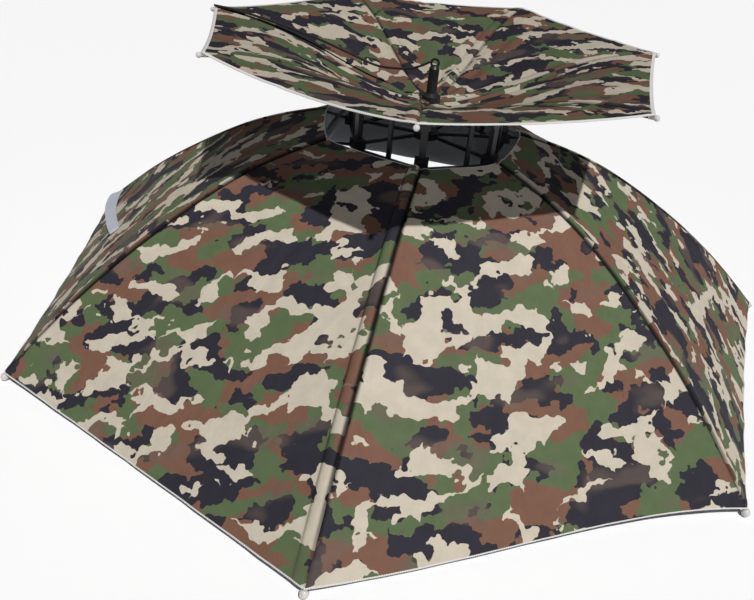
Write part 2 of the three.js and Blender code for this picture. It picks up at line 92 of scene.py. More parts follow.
# A row for each rib, from the front round by the right. The turns are degrees from the rib's even place,
# and the outs are shares of the canopies' reaches. lift and bulge raise the lower rib's tip and middle.
# vent_side and side_bow move its vent end and its middle aside, towards the rib after. lap is the side
# on which its sleeve lies: -1 towards the rib before, 1 towards the rib after
RIBS = [
    {"lower_turn": -1.2, "lower_out": 0.998, "lift": 0, "bulge": 0, "vent_side": 15, "side_bow": 0,
     "upper_turn": -0.8, "upper_out": 1.03, "lap": -1},
    {"lower_turn": -0.7, "lower_out": 0.997, "lift": 0, "bulge": 0, "vent_side": 0, "side_bow": 7,
     "upper_turn": -3.5, "upper_out": 0.993, "lap": 1},
    {"lower_turn": -1.3, "lower_out": 1.011, "lift": 0, "bulge": 0, "vent_side": 0, "side_bow": 0,
     "upper_turn": 2.1, "upper_out": 0.961, "lap": 1},
    {"lower_turn": 0.0, "lower_out": 1.0, "lift": 0, "bulge": 0, "vent_side": 0, "side_bow": 0,
     "upper_turn": 3.1, "upper_out": 1.032, "lap": 1},
    {"lower_turn": 0.0, "lower_out": 1.04, "lift": 10, "bulge": 0, "vent_side": 0, "side_bow": 0,
     "upper_turn": 2.5, "upper_out": 1.01, "lap": -1},
    {"lower_turn": -1.3, "lower_out": 1.001, "lift": 0, "bulge": -7, "vent_side": 0, "side_bow": 0,
     "upper_turn": 3.1, "upper_out": 0.993, "lap": -1},
    {"lower_turn": 0.2, "lower_out": 1.002, "lift": 0, "bulge": 2, "vent_side": 0, "side_bow": 0,
     "upper_turn": -4.0, "upper_out": 0.975, "lap": -1},
]
# A row for the panel from each rib to the next: the bow of the lower hem and where it peaks, the sag
# of the upper hem, and the degrees that the print is turned against the hem, below and above
PANELS = [
    {"bow": 0.95, "peak": 0.7, "sag": 3.0, "lower_print": 6, "upper_print": 10},
    {"bow": 0.6, "peak": 0.5, "sag": 3.0, "lower_print": -49, "upper_print": 70},
    {"bow": 0.7, "peak": 0.5, "sag": 0.5, "lower_print": -20, "upper_print": -45},
    {"bow": 0.8, "peak": 0.5, "sag": 3.0, "lower_print": 35, "upper_print": 0},
    {"bow": 0.7, "peak": 0.5, "sag": 3.0, "lower_print": 30, "upper_print": 30},
    {"bow": 0.35, "peak": 0.5, "sag": 3.0, "lower_print": 54, "upper_print": 90},
    {"bow": 0.3, "peak": 0.5, "sag": 8.0, "lower_print": -34, "upper_print": -15},
]

# Camera, in millimetres from the lower canopy's axis at the height of its corners
CAMERA_PLACE = (62.7, -814.6, 493.5)
CAMERA_YAW = -6.49
CAMERA_PITCH = 32.64
CAMERA_ROLL = 5.71
CAMERA_LENS = 34.5
CAMERA_SENSOR = 36

# Light: a high sun from the front right, a weak fill and a pale room
SUN_POWER = 3.3
SUN_WIDTH = 1.6  # degrees
SUN_TOWARDS = (-0.237, 0.41, -0.881)
ROOM_LIGHT = 0.05
ROOM_SEEN = 0.93  # as pale as the floor where it is seen directly
FLOOR_HALF = 9000.0


def bow(k):
    """0 at both ends and 1 in the middle."""
    return 4 * k * (1 - k)


def even_azimuth(i):
    return -math.pi / 2 + i * RIB_STEP


def smooth_table(table):
    """A monotone smooth curve through the rows of a table."""
    x = np.array([row[0] for row in table])
    y = np.array([row[1] for row in table])
    slopes = np.gradient(y, x)

    def value(t):
        t = np.asarray(t, float)
        k = np.clip(np.searchsorted(x, t) - 1, 0, len(x) - 2)
        h = x[k + 1] - x[k]
        s = (t - x[k]) / h
        a = (1 + 2 * s) * (1 - s) ** 2
        b = s * (1 - s) ** 2
        c = s * s * (3 - 2 * s)
        d = s * s * (s - 1)
        return a * y[k] + b * h * slopes[k] + c * y[k + 1] + d * h * slopes[k + 1]

    return value


lower_height = smooth_table(LOWER_CURVE)
upper_height = smooth_table(UPPER_CURVE)


def lower_rib_point(i, share):
    """The cloth's upper face over a lower rib, share 0 at the vent and 1 at the tip."""
    rib = RIBS[i % RIB_COUNT]
    reach = VENT_REACH + (LOWER_REACH * rib["lower_out"] - VENT_REACH) * share
    azimuth = even_azimuth(i) + math.radians(rib["lower_turn"]) * share
    z = CORNER_HEIGHT + LOWER_RISE * float(lower_height(share))
    z += rib["lift"] * share ** 2 + rib["bulge"] * bow(share)
    aside = rib["vent_side"] * (1 - share) + rib["side_bow"] * bow(share)
    x = AXIS_X + reach * math.cos(azimuth) - aside * math.sin(azimuth)
    y = AXIS_Y + reach * math.sin(azimuth) + aside * math.cos(azimuth)
    return np.array([x, y, z])


def upper_rib_point(i, share):
    """The same over an upper rib, share 0 at the post."""
    rib = RIBS[i % RIB_COUNT]
    reach = UPPER_HOLE + (UPPER_REACH * rib["upper_out"] - UPPER_HOLE) * share
    azimuth = even_azimuth(i) + math.radians(rib["upper_turn"] + CROWN_TURN)
    z = UPPER_CENTRE + UPPER_RISE * float(upper_height(share))
    return np.array([CROWN_X + reach * math.cos(azimuth), CROWN_Y + reach * math.sin(azimuth), z])


def unit(v):
    return v / max(np.linalg.norm(v), 1e-9)


def facing(point, i, share):
    """The way that the cloth over a rib faces."""
    a = point(i, max(share - 0.01, 0))
    b = point(i, min(share + 0.01, 1))
    along = unit(b - a)
    level = unit(np.cross([0, 0, 1], along))
    return np.cross(along, level)


# Objects

def link(name, mesh):
    thing = bpy.data.objects.new(name, mesh)
    bpy.context.scene.collection.objects.link(thing)
    return thing


def mesh_object(name, points, faces, materials, indices=None, smooth=True):
    """A mesh from points in millimetres."""
    mesh = bpy.data.meshes.new(name)
    mesh.from_pydata([tuple(float(c) * MM for c in p) for p in points], [], [tuple(f) for f in faces])
    for material in materials:
        mesh.materials.append(material)
    if indices is not None:
        mesh.polygons.foreach_set("material_index", indices)
    mesh.polygons.foreach_set("use_smooth", [smooth] * len(mesh.polygons))
    mesh.update()
    return link(name, mesh)


def tube(points, radius, sides):
    """Points and faces of a closed round rod along points."""
    points = [np.asarray(p, float) for p in points]
    rings = []
    side = None
    for j, p in enumerate(points):
        along = unit(points[min(j + 1, len(points) - 1)] - points[max(j - 1, 0)])
        if side is None:
            helper = np.array([0, 0, 1.0]) if abs(along[2]) < 0.9 else np.array([1.0, 0, 0])
            side = unit(np.cross(along, helper))
        side = unit(side - along * np.dot(side, along))
        top = np.cross(side, along)
        for k in range(sides):
            a = 2 * math.pi * k / sides
            rings.append(p + radius * (math.cos(a) * side + math.sin(a) * top))
    faces = []
    for j in range(len(points) - 1):
        for k in range(sides):
            m = (k + 1) % sides
            a, b = j * sides, (j + 1) * sides
            faces.append((a + k, b + k, b + m, a + m))
    faces.append(tuple(range(sides)))
    faces.append(tuple(len(rings) - sides + k for k in reversed(range(sides))))
    return rings, faces


def lathe(rows, sides):
    """Points and faces turned about +Z from (radius, height) rows that start and end on the axis."""
    points, faces = [], []
    inner = rows[1:-1]
    for r, z in inner:
        for k in range(sides):
            a = 2 * math.pi * k / sides
            points.append(np.array([r * math.cos(a), r * math.sin(a), z]))
    for j in range(len(inner) - 1):
        for k in range(sides):
            m = (k + 1) % sides
            faces.append((j * sides + k, j * sides + m, (j + 1) * sides + m, (j + 1) * sides + k))
    first, last = len(points), len(points) + 1
    points.append(np.array([0, 0, rows[0][1]]))
    points.append(np.array([0, 0, rows[-1][1]]))
    top = (len(inner) - 1) * sides
    for k in range(sides):
        m = (k + 1) % sides
        faces.append((first, m, k))
        faces.append((last, top + k, top + m))
    return points, faces


def placed(part, place, along):
    """A turned part moved so that its +Z points along a direction."""
    turn = Vector((0, 0, 1)).rotation_difference(Vector(along)).to_matrix()
    turn = np.array([list(row) for row in turn])
    points = [turn @ np.asarray(p, float) + np.asarray(place, float) for p in part[0]]
    return points, part[1]


# Camera, light and floor

def make_camera():
    yaw, pitch, roll = (math.radians(a) for a in (CAMERA_YAW, CAMERA_PITCH, CAMERA_ROLL))
    ahead = Vector((math.sin(yaw) * math.cos(pitch), math.cos(yaw) * math.cos(pitch), -math.sin(pitch)))
    right = Vector((math.cos(yaw), -math.sin(yaw), 0))
    above = right.cross(ahead)
    turned_right = math.cos(roll) * right + math.sin(roll) * above
    turned_above = math.cos(roll) * above - math.sin(roll) * right
    camera = bpy.data.cameras.new("camera")
    camera.lens = CAMERA_LENS
    camera.sensor_width = CAMERA_SENSOR
    thing = link("camera", camera)
    turn = Matrix((turned_right, turned_above, -ahead)).transposed().to_4x4()
    x, y, z = CAMERA_PLACE
    place = Vector((AXIS_X + x, AXIS_Y + y, CORNER_HEIGHT + z)) * MM
    thing.matrix_world = Matrix.Translation(place) @ turn
    bpy.context.scene.camera = thing


def area_light(name, place, target, size, power):
    light = bpy.data.lights.new(name, "AREA")
    light.shape = "DISK"
    light.size = size
    light.energy = power
    thing = link(name, light)
    thing.location = place
    thing.rotation_euler = (Vector(target) - Vector(place)).to_track_quat("-Z", "Y").to_euler()


def make_light():
    sun = bpy.data.lights.new("key", "SUN")
    sun.energy = SUN_POWER
    sun.angle = math.radians(SUN_WIDTH)
    thing = link("key", sun)
    thing.rotation_euler = Vector(SUN_TOWARDS).to_track_quat("-Z", "Y").to_euler()
    area_light("fill_front", place=(0.6, -2.6, 1.5), target=(0, 0, 0.1), size=1.8, power=2)
    world = bpy.data.worlds.new("studio")
    world.use_nodes = True
    background = world.node_tree.nodes["Background"]
    background.inputs["Color"].default_value = (1, 1, 1, 1)
    background.inputs["Strength"].default_value = ROOM_LIGHT
    seen = world.node_tree.nodes.new("ShaderNodeBackground")
    seen.inputs["Color"].default_value = (1, 1, 1, 1)
    seen.inputs["Strength"].default_value = ROOM_SEEN
    rays = world.node_tree.nodes.new("ShaderNodeLightPath")
    choice = world.node_tree.nodes.new("ShaderNodeMixShader")
    output = world.node_tree.nodes["World Output"]
    world.node_tree.links.new(rays.outputs["Is Camera Ray"], choice.inputs[0])
    world.node_tree.links.new(background.outputs[0], choice.inputs[1])
    world.node_tree.links.new(seen.outputs[0], choice.inputs[2])
    world.node_tree.links.new(choice.outputs[0], output.inputs["Surface"])
    bpy.context.scene.world = world
    bpy.context.scene.view_settings.view_transform = "Standard"


def make_floor():
    half = FLOOR_HALF
    points = [(-half, -half, 0), (half, -half, 0), (half, half, 0), (-half, half, 0)]
    material = bpy.data.materials.new("floor_paper")
    material.use_nodes = True
    tree = material.node_tree
    shader = tree.nodes["Principled BSDF"]
    shader.inputs["Roughness"].default_value = 0.9
    shader.inputs["Specular IOR Level"].default_value = 0.1
    noise = tree.nodes.new("ShaderNodeTexNoise")
    noise.inputs["Scale"].default_value = 3
    ramp = tree.nodes.new("ShaderNodeMapRange")
    ramp.inputs["To Min"].default_value = 0.95
    ramp.inputs["To Max"].default_value = 0.97
    colour = tree.nodes.new("ShaderNodeCombineColor")
    tree.links.new(noise.outputs["Fac"], ramp.inputs["Value"])
    for channel in ("Red", "Green", "Blue"):
        tree.links.new(ramp.outputs["Result"], colour.inputs[channel])
    tree.links.new(colour.outputs["Color"], shader.inputs["Base Color"])
    floor = mesh_object("floor", points, [(0, 1, 2, 3)], [material], smooth=False)


# Materials

class Nodes:
    """Short ways to add and link shader nodes."""

    def __init__(self, name):
        self.material = bpy.data.materials.new(name)
        self.material.use_nodes = True
        self.tree = self.material.node_tree
        self.shader = self.tree.nodes["Principled BSDF"]

    def add(self, kind, **settings):
        node = self.tree.nodes.new("ShaderNode" + kind)
        for key, value in settings.items():
            setattr(node, key, value)
        return node

    def put(self, value, socket):
        if isinstance(value, bpy.types.NodeSocket):
            self.tree.links.new(value, socket)
        else:
            socket.default_value = value

    def uv(self, name):
        return self.add("UVMap", uv_map=name).outputs["UV"]

    def place(self):
        return self.add("TexCoord").outputs["Object"]

    def stretch(self, vector, scale=(1, 1, 1), shift=(0, 0, 0)):
        node = self.add("Mapping")
        self.put(vector, node.inputs["Vector"])
        node.inputs["Scale"].default_value = scale
        node.inputs["Location"].default_value = shift
        return node.outputs["Vector"]

    def noise(self, vector, scale, detail=2.0, rough=0.5, distortion=0.0):
        node = self.add("TexNoise")
        self.put(vector, node.inputs["Vector"])
        node.inputs["Scale"].default_value = scale
        node.inputs["Detail"].default_value = detail
        node.inputs["Roughness"].default_value = rough
        node.inputs["Distortion"].default_value = distortion
        return node.outputs["Fac"]

    def warp(self, vector, scale, amount, detail):
        """The vector moved about by a noise, up to the amount or so."""
        noise = self.add("TexNoise")
        self.put(vector, noise.inputs["Vector"])
        noise.inputs["Scale"].default_value = scale
        noise.inputs["Detail"].default_value = detail
        centred = self.add("VectorMath", operation="SUBTRACT")
        self.put(noise.outputs["Color"], centred.inputs[0])
        centred.inputs[1].default_value = (0.5, 0.5, 0.5)
        sized = self.add("VectorMath", operation="SCALE")
        self.put(centred.outputs[0], sized.inputs[0])
        sized.inputs["Scale"].default_value = amount
        moved = self.add("VectorMath", operation="ADD")
        self.put(vector, moved.inputs[0])
        self.put(sized.outputs[0], moved.inputs[1])
        return moved.outputs[0]

    def calc(self, a, b, operation):
        node = self.add("Math", operation=operation)
        self.put(a, node.inputs[0])
        self.put(b, node.inputs[1])
        return node.outputs[0]

    def spread(self, value, low, high, to_low=0.0, to_high=1.0, smooth=True):
        node = self.add("MapRange", interpolation_type="SMOOTHSTEP" if smooth else "LINEAR")
        self.put(value, node.inputs["Value"])
        node.inputs["From Min"].default_value = low
        node.inputs["From Max"].default_value = high
        node.inputs["To Min"].default_value = to_low
        node.inputs["To Max"].default_value = to_high
        return node.outputs["Result"]

    def mix(self, factor, a, b, blend="MIX"):
        node = self.add("Mix", data_type="RGBA", blend_type=blend)
        self.put(factor, node.inputs[0])
        self.put(a, node.inputs[6])
        self.put(b, node.inputs[7])
        return node.outputs[2]

    def bump(self, height, distance, strength, normal=None):
        node = self.add("Bump")
        self.put(height, node.inputs["Height"])
        node.inputs["Distance"].default_value = distance
        node.inputs["Strength"].default_value = strength
        if normal is not None:
            self.put(normal, node.inputs["Normal"])
        return node.outputs["Normal"]

    def finish(self, colour, rough, normal, **fixed):
        self.put(colour, self.shader.inputs["Base Color"])
        self.put(rough, self.shader.inputs["Roughness"])
        self.put(normal, self.shader.inputs["Normal"])
        for key, value in fixed.items():
            self.shader.inputs[key.replace("_", " ")].default_value = value
        return self.material


def srgb(r, g, b):
    """A screen colour, 0 to 255, as the shader's linear one."""
    def linear(c):
        c /= 255
        return c / 12.92 if c <= 0.04045 else ((c + 0.055) / 1.055) ** 2.4
    return (linear(r), linear(g), linear(b), 1)


BEIGE = srgb(193, 183, 166)
BROWN = srgb(117, 85, 70)
GREEN = srgb(88, 102, 72)
CHARCOAL = srgb(47, 45, 53)
BLEND = srgb(104, 91, 82)  # where inks have run together
WEAVE = 420  # how close the threads lie
UPPER_PRINT = 30.0  # where the upper canopy's cloth lies along the print, in metres

# The fields that the print is made of: where the noise is read, how fine it is, and how many metres its
# lobes and its ragged edges move an outline
PRINT = {
    "green": {"seed": 3.1, "scale": 30, "lobe": 0.016, "ragged": 0.005},
    "dark": {"seed": 7.7, "scale": 33, "lobe": 0.022, "ragged": 0.007},
    "beige": {"seed": 12.9, "scale": 24, "lobe": 0.021, "ragged": 0.006},
    "room": {"seed": 21.3, "scale": 32, "lobe": 0.016, "ragged": 0.005},
}


def weave(n, vector):
    """The height of a plain weave."""
    across = n.add("TexWave", wave_type="BANDS", bands_direction="X")
    n.put(vector, across.inputs["Vector"])
    across.inputs["Scale"].default_value = WEAVE
    up = n.add("TexWave", wave_type="BANDS", bands_direction="Y")
    n.put(vector, up.inputs["Vector"])
    up.inputs["Scale"].default_value = WEAVE
    return n.calc(across.outputs["Fac"], up.outputs["Fac"], "MULTIPLY")


def print_field(n, uv, seed, scale, lobe, ragged):
    """Smooth patches that are longer than wide, with flowing outlines, lobes and ragged edges."""
    place = n.stretch(uv, shift=(seed, 0.7 * seed, 0))
    place = n.warp(place, 185, ragged, 0.5)
    place = n.warp(place, 76, lobe, 0.3)
    place = n.stretch(place, scale=(0.6, 1, 1))
    place = n.warp(place, 16, 0.038, 0.5)
    return n.noise(place, scale, 0.0)


def camouflage_cloth():
    """Printed woven polyester: beige ribbons over charcoal, green and brown patches, some blended."""
    n = Nodes("camouflage_cloth")
    uv = n.uv("print")
    green = print_field(n, uv, **PRINT["green"])
    dark = print_field(n, uv, **PRINT["dark"])
    # The upper canopy's cloth, far along the print, shows more charcoal
    along = n.add("SeparateXYZ")
    n.put(uv, along.inputs[0])
    far = n.spread(along.outputs["X"], UPPER_PRINT - 6, UPPER_PRINT - 5, 0, 0.028)
    dark = n.calc(dark, far, "ADD")
    beige = print_field(n, uv, **PRINT["beige"])
    room = print_field(n, uv, **PRINT["room"])
    # A beige ribbon runs along a contour of one field, as wide as the other allows
    off = n.calc(n.calc(beige, 0.5, "SUBTRACT"), 0.0, "ABSOLUTE")
    ribbon = n.calc(n.spread(room, 0.4, 0.57, 0, 0.09), off, "SUBTRACT")
    blended = n.noise(n.stretch(n.stretch(uv, scale=(0.6, 1, 1)), shift=(4, 4, 0)), 26, 1.5)
    colour = n.mix(n.spread(green, 0.485, 0.51), BROWN, GREEN)
    colour = n.mix(n.spread(dark, 0.532, 0.54), colour, CHARCOAL)
    colour = n.mix(n.spread(blended, 0.56, 0.66, 0, 0.5), colour, BLEND)
    colour = n.mix(n.spread(ribbon, 0.001, 0.007), colour, BEIGE)
    # Faint wear, and painted shade: deep in the creases beside the ribs, faint over the whole upper
    # canopy
    wear_and_painted_shade = n.spread(n.noise(uv, 60, 4, 0.6), 0.25, 0.75, 0.9, 1.08, False)
    painted_shade = n.add("Attribute", attribute_name="painted_shade").outputs["Fac"]
    wear_and_painted_shade = n.calc(wear_and_painted_shade, n.spread(painted_shade, 0, 1, 1, 0.05, False), "MULTIPLY")
    grey = n.add("CombineColor")
    for channel in ("Red", "Green", "Blue"):
        n.put(wear_and_painted_shade, grey.inputs[channel])
    colour = n.mix(1.0, colour, grey.outputs["Color"], "MULTIPLY")
    cut = n.uv("cut")
    creases = n.noise(n.stretch(cut, scale=(1, 0.25, 1)), 38, 4, 0.55, 0.6)
    normal = n.bump(creases, 0.004, 0.5)
    normal = n.bump(weave(n, cut), 0.0002, 0.35, normal)
    rough = n.spread(creases, 0.3, 0.7, 0.56, 0.72, False)
    return n.finish(colour, rough, normal, Specular_IOR_Level=0.1)


def coated_cloth():
    """The cloth's inner face, with a dark silver-grey coating."""
    n = Nodes("coated_cloth")
    cut = n.uv("cut")
    cloudy = n.noise(cut, 14, 3)
    creases = n.noise(n.stretch(cut, scale=(1, 0.3, 1)), 40, 4, 0.55, 0.5)
    colour = n.mix(cloudy, srgb(206, 209, 216), srgb(228, 231, 238))
    normal = n.bump(creases, 0.004, 0.5)
    normal = n.bump(weave(n, cut), 0.0002, 0.3, normal)
    rough = n.spread(creases, 0.3, 0.7, 0.38, 0.55, False)
    return n.finish(colour, rough, normal, Metallic=0.1, Specular_IOR_Level=0.4)


def hem_thread():
    """Off-white edging with close overlock stitches."""
    n = Nodes("hem_thread")
    cut = n.uv("cut")
    stitches = n.add("TexWave", wave_type="BANDS", bands_direction="X")
    n.put(cut, stitches.inputs["Vector"])
    stitches.inputs["Scale"].default_value = 160
    colour = n.mix(stitches.outputs["Fac"], srgb(190, 188, 184), srgb(236, 234, 230))
    normal = n.bump(stitches.outputs["Fac"], 0.0004, 0.6)
    return n.finish(colour, 0.75, normal, Sheen_Weight=0.2)


def plain_material(name, low, high, rough, scale, bump, **fixed):
    """A moulded or drawn material: two close tones, a varied gloss and a fine grain."""
    n = Nodes(name)
    place = n.place()
    tone = n.noise(place, scale, 4, 0.6)
    grain = n.noise(place, scale * 18, 3, 0.6)
    colour = n.mix(tone, low, high)
    gloss = n.spread(tone, 0.3, 0.7, rough - 0.06, rough + 0.08, False)
    return n.finish(colour, gloss, n.bump(grain, bump, 0.4), **fixed)


def cord_material():
    """A braid: two sets of slanting strands."""
    n = Nodes("braided_cord")
    uv = n.uv("cut")
    left = n.add("TexWave", wave_type="BANDS", bands_direction="DIAGONAL")
    n.put(uv, left.inputs["Vector"])
    left.inputs["Scale"].default_value = 260
    right = n.add("TexWave", wave_type="BANDS", bands_direction="DIAGONAL")
    n.put(n.stretch(uv, scale=(-1, 1, 1)), right.inputs["Vector"])
    right.inputs["Scale"].default_value = 260
    braid = n.calc(left.outputs["Fac"], right.outputs["Fac"], "MAXIMUM")
    colour = n.mix(braid, srgb(14, 14, 16), srgb(44, 44, 48))
    return n.finish(colour, 0.8, n.bump(braid, 0.0003, 0.4), Sheen_Weight=0.1)


def strap_material():
    """A pale ribbon with a close cross rib."""
    n = Nodes("strap_ribbon")
    uv = n.uv("cut")
    ribs = n.add("TexWave", wave_type="BANDS", bands_direction="Y")
    n.put(uv, ribs.inputs["Vector"])
    ribs.inputs["Scale"].default_value = 300
    shade = n.noise(uv, 60, 3)
    colour = n.mix(shade, srgb(168, 172, 184), srgb(196, 200, 212))
    colour = n.mix(n.spread(ribs.outputs["Fac"], 0, 1, 0, 0.25, False), colour, srgb(140, 144, 154))
    return n.finish(colour, 0.6, n.bump(ribs.outputs["Fac"], 0.0004, 0.5), Sheen_Weight=0.3)


make_camera()
make_light()
make_floor()

CAMOUFLAGE = camouflage_cloth()
COATING = coated_cloth()
EDGING = hem_thread()
BLACK_PLASTIC = plain_material(
    "cage_plastic", srgb(22, 22, 25), srgb(34, 34, 38), rough=0.42, scale=40, bump=0.0002)
DARK_METAL = plain_material(
    "rib_metal", srgb(44, 46, 50), srgb(70, 72, 78), rough=0.3, scale=90, bump=0.0001, Metallic=0.8)
TIP_PLASTIC = plain_material(
    "tip_plastic", srgb(194, 190, 188), srgb(214, 210, 208), rough=0.35, scale=70, bump=0.0001,
    Subsurface_Weight=0.1)
CORD = cord_material()
STRAP = strap_material()

# Canopies

# Columns beside a rib, in millimetres from it: the height of the cloth and how dark the shade painted
# into its crease is, on the side of the rib's sleeve and on the open side
SEAM = [
    {"off": 0.0, "sleeve": -0.8, "sleeve_dark": 1.0, "open": -0.8, "open_dark": 1.0},
    {"off": 0.9, "sleeve": -0.3, "sleeve_dark": 1.0, "open": -0.4, "open_dark": 0.9},
    {"off": 1.6, "sleeve": 1.3, "sleeve_dark": 0.8, "open": 0.2, "open_dark": 0.6},
    {"off": 2.6, "sleeve": 2.5, "sleeve_dark": 0.25, "open": 0.9, "open_dark": 0.15},
    {"off": 4.0, "sleeve": 3.1, "sleeve_dark": 0.0, "open": 1.2, "open_dark": 0.0},
    {"off": 6.0, "sleeve": 3.3, "sleeve_dark": 0.0, "open": 1.0, "open_dark": 0.0},
    {"off": 8.0, "sleeve": 3.2, "sleeve_dark": 0.0, "open": 0.7, "open_dark": 0.0},
    {"off": 10.0, "sleeve": 2.8, "sleeve_dark": 0.0, "open": 0.4, "open_dark": 0.0},
    {"off": 11.6, "sleeve": 2.0, "sleeve_dark": 0.05, "open": 0.25, "open_dark": 0.0},
    {"off": 12.8, "sleeve": 1.0, "sleeve_dark": 0.3, "open": 0.15, "open_dark": 0.0},
    {"off": 13.8, "sleeve": 0.1, "sleeve_dark": 0.7, "open": 0.1, "open_dark": 0.0},
    {"off": 15.0, "sleeve": 0.2, "sleeve_dark": 0.1, "open": 0.05, "open_dark": 0.0},
    {"off": 18.0, "sleeve": 0.0, "sleeve_dark": 0.0, "open": 0.0, "open_dark": 0.0},
]
SEAM_OFFSETS = [row["off"] for row in SEAM]
PLAIN_FROM = SEAM_OFFSETS[-1]
SEAM_ROOM = 3.4  # a panel narrower than so many seams has them squeezed together
LEAST_SQUEEZE = 0.15
MIDDLE_COLUMNS = 24
HEM_ROWS = 1
EDGING_LOWER = 1.1  # how wide the hem's edging is
EDGING_UPPER = 4.0
BY_EDGING = 5.0  # the first row beyond the edging
EVEN_FROM = 9.0  # the first of the even rows

# Material slots of a canopy
OUTER, INNER, EDGE = 0, 1, 2


def row_columns(width):
    """Distances across a panel of that width, and how far its seams are squeezed together."""
    squeeze = min(1.0, width / (SEAM_ROOM * PLAIN_FROM))
    edge = [offset * squeeze for offset in SEAM_OFFSETS]
    middle = np.linspace(edge[-1], width - edge[-1], MIDDLE_COLUMNS + 1)[1:-1]
    across = edge + list(middle) + [width - e for e in reversed(edge)]
    return np.array(across), squeeze


def seam_shape(distance, lapped, squeeze, bold):
    """The cloth beside a rib: its height over the plain cloth, and how dark the shade painted into its
    crease is, 0 to 1.
    """
    off = distance / max(squeeze, LEAST_SQUEEZE)
    side = "sleeve" if lapped else "open"
    height = np.interp(off, SEAM_OFFSETS, [row[side] for row in SEAM])
    dark = np.interp(off, SEAM_OFFSETS, [row[side + "_dark"] for row in SEAM])
    return squeeze * bold * height, bold * dark * min(1.0, squeeze * 1.5)


def sag(dip, share, k):
    """How far the cloth sinks between two ribs."""
    return dip * share * max(math.sin(math.pi * min(max(k, 0), 1)), 0) ** 0.75


def plain_panel(i, point, shares, dip, hem):
    """A panel without its seams and folds: a grid of points, and the measures of each row."""
    grid, measures = [], []
    down, before = 0.0, None
    for share in shares:
        a, b = point(i, share), point(i + 1, share)
        width = np.linalg.norm(b - a)
        across, squeeze = row_columns(width)
        inward = unit(-(a + b) / 2 + np.array([AXIS_X, AXIS_Y, 0])) * np.array([1, 1, 0])
        inward = unit(inward)
        row = []
        for k in across / width:
            sunk = a + (b - a) * k - np.array([0, 0, sag(dip, share, k)])
            row.append(sunk + hem(PANELS[i], share, k, inward))
        grid.append(row)
        middle = (a + b) / 2
        if before is not None:
            down += np.linalg.norm(middle - before)
        before = middle
        measures.append({"across": across, "width": width, "squeeze": squeeze, "down": down})
    return np.array(grid), measures


def dressed_panel(i, point, shares, grid, measures, folds, bold, shade):
    """The panel with its seams and folds, the ways it faces, and how dark the shade painted into its
    creases is.
    """
    normals = np.cross(np.gradient(grid, axis=0), np.gradient(grid, axis=1))
    normals /= np.linalg.norm(normals, axis=2, keepdims=True)
    lift = np.zeros(grid.shape[:2])
    creases = np.zeros(grid.shape[:2])
    lap_here = RIBS[i]["lap"] > 0
    lap_there = RIBS[(i + 1) % RIB_COUNT]["lap"] < 0
    for j, share in enumerate(shares):
        normals[j, 0] = facing(point, i, share)
        normals[j, -1] = facing(point, i + 1, share)
        across, width, squeeze = (measures[j][key] for key in ("across", "width", "squeeze"))
        rise = bold * (1 - 0.8 * share ** 10)
        here, pinch = seam_shape(across, lap_here, squeeze, rise)
        there, far_pinch = seam_shape(width - across, lap_there, squeeze, rise)
        lift[j] = here + there + folds(i, share, across / width, across - width / 2)
        # Painted shade: that of the creases beside the ribs, and never less than shade anywhere on the
        # panel
        creases[j] = np.maximum(np.maximum(pinch, far_pinch), shade)
    return grid + normals * lift[..., None], normals, creases


def canopy(name, point, shares, dip, hem, folds, vent_hem, print_key, print_shift, bold, shade):
    """One continuous sheet over all ribs, with a face inside and out and an edging at its hems."""
    panels = []
    for i in range(RIB_COUNT):
        grid, measures = plain_panel(i, point, shares, dip, hem)
        outer, normals, creases = dressed_panel(i, point, shares, grid, measures, folds, bold, shade)
        layers = (outer, outer - normals * CLOTH)
        panels.append({"measures": measures, "layers": layers, "creases": creases})
    end = len(shares) - 1
    columns = len(panels[0]["measures"][0]["across"]) - 1
    points, painted_shades, numbers = [], [], {}

    def at(layer, i, j, c):
        """A point's number, where a panel's last column is the first of the next."""
        i, c = (i, c) if c < columns else ((i + 1) % RIB_COUNT, 0)
        key = (layer, i, j, c)
        if key not in numbers:
            numbers[key] = len(points)
            points.append(panels[i]["layers"][layer][j, c])
            painted_shades.append(panels[i]["creases"][j, c])
        return numbers[key]

    faces, kinds, print_uv, cut_uv = [], [], [], []

    def add_face(corners, kind, i):
        faces.append([at(layer, i, j, c) for layer, j, c in corners])
        kinds.append(kind)
        turn = math.radians(PANELS[i][print_key])
        for _, j, c in corners:
            row = panels[i]["measures"][j]
            u, v = row["across"][c] - row["width"] / 2, row["down"]
            cut_uv.append((u * MM + 1.3 * i, v * MM))
            x = u * math.cos(turn) + v * math.sin(turn)
            y = -u * math.sin(turn) + v * math.cos(turn)
            print_uv.append((x * MM + print_shift + 2.7 * i, y * MM + 1.9 * i))

    for i in range(RIB_COUNT):
        for j in range(end):
            hemmed = j >= end - HEM_ROWS or (vent_hem and j < HEM_ROWS)
            kind = EDGE if hemmed else OUTER
            for c in range(columns):
                add_face([(0, j, c), (0, j + 1, c), (0, j + 1, c + 1), (0, j, c + 1)], kind, i)
                add_face([(1, j, c), (1, j, c + 1), (1, j + 1, c + 1), (1, j + 1, c)], INNER, i)
        for c in range(columns):
            add_face([(0, end, c), (1, end, c), (1, end, c + 1), (0, end, c + 1)], EDGE, i)
            add_face([(0, 0, c), (0, 0, c + 1), (1, 0, c + 1), (1, 0, c)], EDGE, i)
    thing = mesh_object(name, points, faces, [CAMOUFLAGE, COATING, EDGING], kinds)
    for layer_name, values in (("print", print_uv), ("cut", cut_uv)):
        layer = thing.data.uv_layers.new(name=layer_name)
        layer.data.foreach_set("uv", np.array(values, dtype=np.float32).ravel())
    # Each point's painted shade, which the printed cloth multiplies into its colour
    thing.data.attributes.new("painted_shade", "FLOAT", "POINT").data.foreach_set("value", painted_shades)
    return thing, [panel["measures"] for panel in panels]


